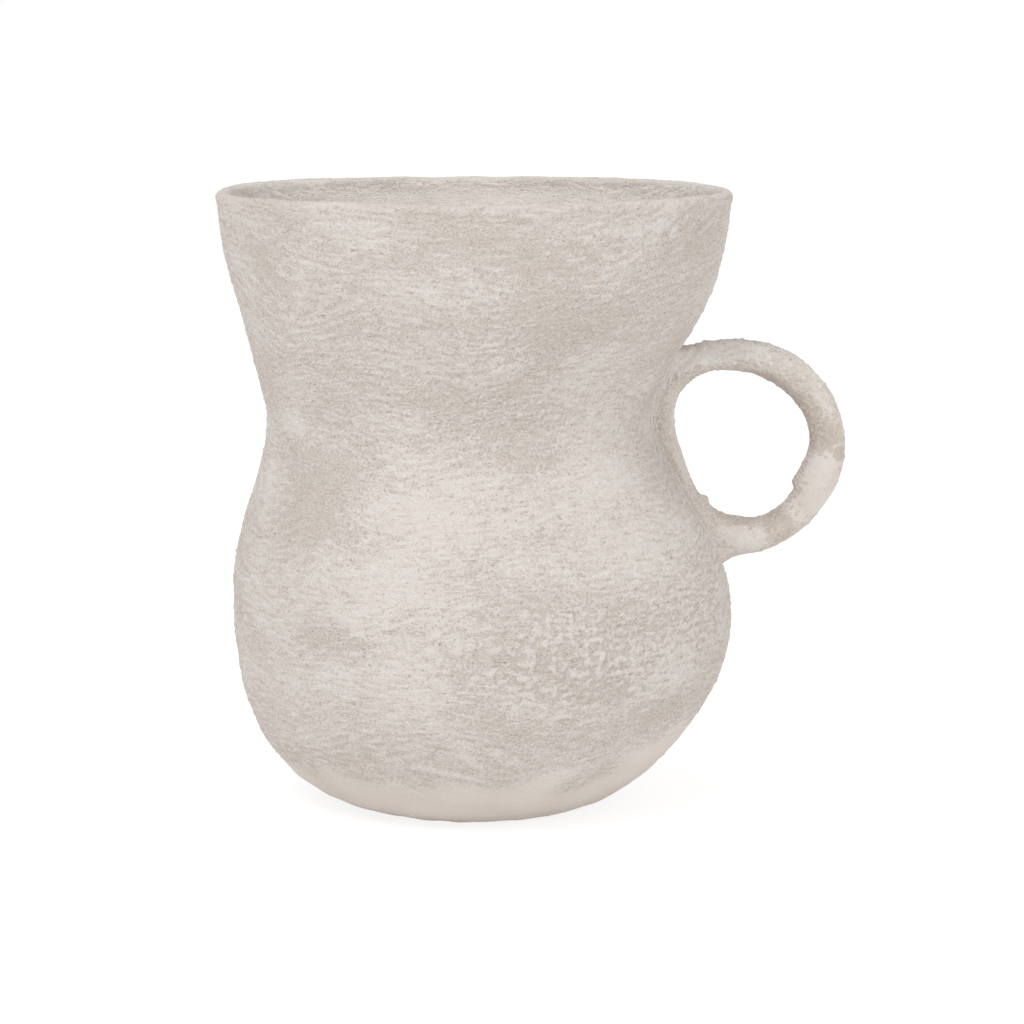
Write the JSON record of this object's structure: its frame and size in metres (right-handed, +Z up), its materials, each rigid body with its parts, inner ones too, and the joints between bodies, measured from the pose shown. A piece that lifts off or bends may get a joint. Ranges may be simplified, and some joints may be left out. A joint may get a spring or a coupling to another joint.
{
  "type": "waisted vase with a ring handle",
  "caption": "Hand-built clay vase with a wide mouth, a pinched waist, a round belly and a coil bent to a ring handle at the side.",
  "frame": {"origin": "middle of the foot, on the surface that the vase stands on", "axes": "+Z up along the vase, +X towards the ring handle"},
  "size_m": [0.255, 0.2078, 0.25],
  "materials": {
    "brushed_slip": "matt, coarse brushed slip",
    "smooth_slip": "matt, wiped smooth",
    "handle_slip": "matt, crumbly slip with smeared patches"
  },
  "bodies": {
    "root": {"floor_slab": "smooth_slip", "foot_course": "smooth_slip", "lower_belly_course": "brushed_slip", "upper_belly_course": "brushed_slip", "shoulder_course": "brushed_slip", "waist_course": "brushed_slip", "neck_course": "brushed_slip", "mouth_course": "brushed_slip", "rim_lip": "smooth_slip", "ring_handle": "handle_slip", "upper_luting_collar": "handle_slip", "lower_luting_collar": "handle_slip", "front_luting_strip": "handle_slip", "back_luting_strip": "handle_slip"}
  },
  "joints": []
}
